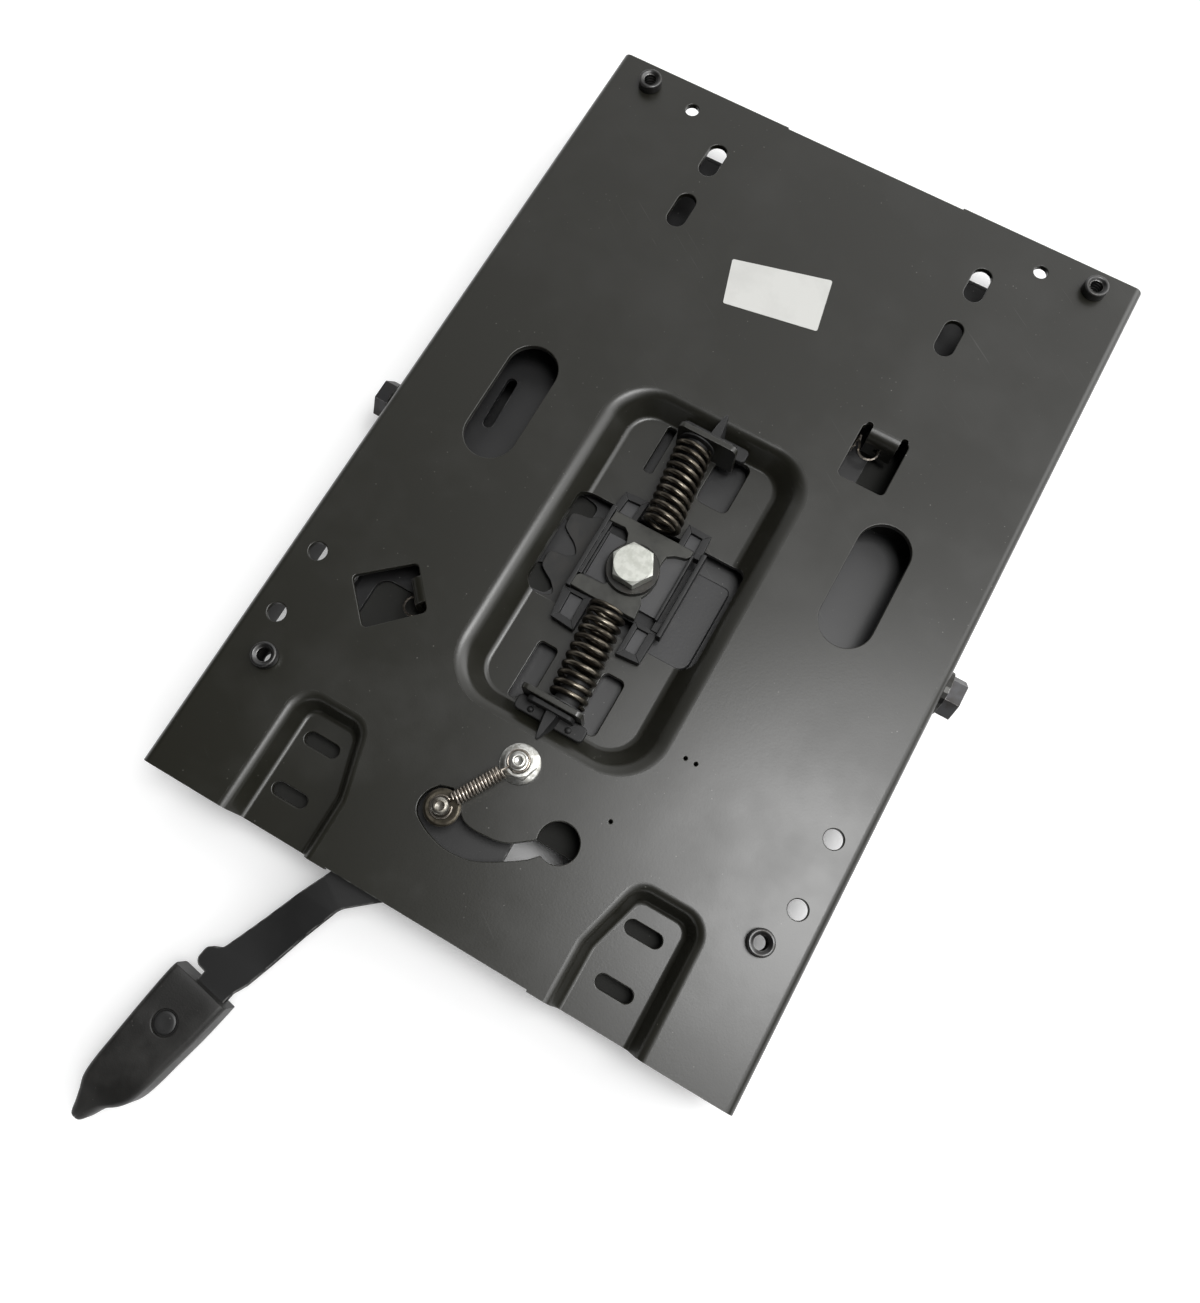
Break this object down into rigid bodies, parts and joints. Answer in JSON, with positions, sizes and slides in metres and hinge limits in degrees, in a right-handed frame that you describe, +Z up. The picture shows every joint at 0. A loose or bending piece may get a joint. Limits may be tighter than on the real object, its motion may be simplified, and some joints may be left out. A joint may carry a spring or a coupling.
{
  "type": "seat slide rail",
  "caption": "Flanged steel seat slide with a sprung fore-and-aft isolator in a pressed recess, roller rails underneath and a lock-out lever with a moulded handle.",
  "frame": {"origin": "middle of the footprint of the whole unit, lever included, at the level of the feet", "axes": "+X to the right of a person in the seat, +Y to the rear of the seat (the lever comes out at the front, -Y), +Z up"},
  "size_m": [0.2938, 0.538, 0.0534],
  "materials": {
    "satin_black_sheet": "satin black paint",
    "black_frame_steel": "satin black paint",
    "dark_rail_steel": "dark coating",
    "black_collar_steel": "blackened",
    "black_bolt_steel": "blackened",
    "bright_zinc": "bright zinc",
    "zinc_flange": "zinc",
    "nut_steel": "zinc",
    "roller_plastic": "natural acetal",
    "axle_steel": "dark steel",
    "block_plastic": "moulded",
    "grey_bar_steel": "dull",
    "spring_steel": "dark oiled",
    "wire_steel": "dark wire",
    "grip_plastic": "grained",
    "pin_steel": "phosphated"
  },
  "bodies": {
    "lower_frame": {"lower_frame": "black_frame_steel", "guide_rail_right": "dark_rail_steel", "guide_rail_left": "dark_rail_steel", "isolator_block": "block_plastic", "cross_bar": "grey_bar_steel", "centre_washer": "zinc_flange", "centre_bolt": "bright_zinc", "centre_nut": "nut_steel", "spring_rear": "spring_steel", "spring_front": "spring_steel"},
    "top_tray": {"top_plate": "satin_black_sheet", "collar_right_rear": "black_collar_steel", "collar_right_front": "black_collar_steel", "collar_left_rear": "black_collar_steel", "collar_left_front": "black_collar_steel", "side_bolt_right": "black_bolt_steel", "side_bolt_left": "black_bolt_steel", "side_washer_right": "axle_steel", "side_washer_left": "axle_steel", "side_nut_right": "nut_steel", "side_nut_left": "nut_steel", "axle_right_rear": "axle_steel", "axle_right_front": "axle_steel", "axle_left_rear": "axle_steel", "axle_left_front": "axle_steel", "spring_guide_rear": "block_plastic", "spring_guide_front": "block_plastic", "pivot_bolt": "pin_steel", "pivot_spacer": "nut_steel", "pivot_washer": "zinc_flange", "pivot_nut": "bright_zinc", "return_spring_right": "wire_steel", "return_spring_left": "wire_steel"},
    "lever": {"lever_arm": "satin_black_sheet", "lever_pin": "pin_steel", "lever_spring": "wire_steel", "handle_grip": "grip_plastic", "handle_button": "black_bolt_steel"},
    "roller_right_rear": {"roller_right_rear": "roller_plastic"},
    "roller_right_front": {"roller_right_front": "roller_plastic"},
    "roller_left_rear": {"roller_left_rear": "roller_plastic"},
    "roller_left_front": {"roller_left_front": "roller_plastic"}
  },
  "joints": [
    {"name": "isolator_slide", "type": "slide", "parent": "lower_frame", "child": "top_tray", "axis": [0, 1, 0], "range_m": [-0.012, 0.012], "stiffness_N_per_m": 20000, "deforming": ["spring_rear", "spring_front"]},
    {"name": "lever_hinge", "type": "hinge", "parent": "top_tray", "child": "lever", "pos_m": [-0.0005, -0.062, 0.0267], "axis": [0, 0, 1], "range_deg": [0, 40]},
    {"name": "roller_right_rear_turn", "type": "hinge", "parent": "top_tray", "child": "roller_right_rear", "pos_m": [0.119, 0.196, 0.0177], "axis": [1, 0, 0], "range_deg": [-110, 110]},
    {"name": "roller_right_front_turn", "type": "hinge", "parent": "top_tray", "child": "roller_right_front", "pos_m": [0.119, 0.016, 0.0177], "axis": [1, 0, 0], "range_deg": [-110, 110]},
    {"name": "roller_left_rear_turn", "type": "hinge", "parent": "top_tray", "child": "roller_left_rear", "pos_m": [-0.119, 0.196, 0.0177], "axis": [1, 0, 0], "range_deg": [-110, 110]},
    {"name": "roller_left_front_turn", "type": "hinge", "parent": "top_tray", "child": "roller_left_front", "pos_m": [-0.119, 0.016, 0.0177], "axis": [1, 0, 0], "range_deg": [-110, 110]}
  ],
  "couplings": [
    {"joint": "roller_right_rear_turn", "follows": "isolator_slide", "rad_per_m": -156.25},
    {"joint": "roller_right_front_turn", "follows": "isolator_slide", "rad_per_m": -156.25},
    {"joint": "roller_left_rear_turn", "follows": "isolator_slide", "rad_per_m": -156.25},
    {"joint": "roller_left_front_turn", "follows": "isolator_slide", "rad_per_m": -156.25}
  ]
}
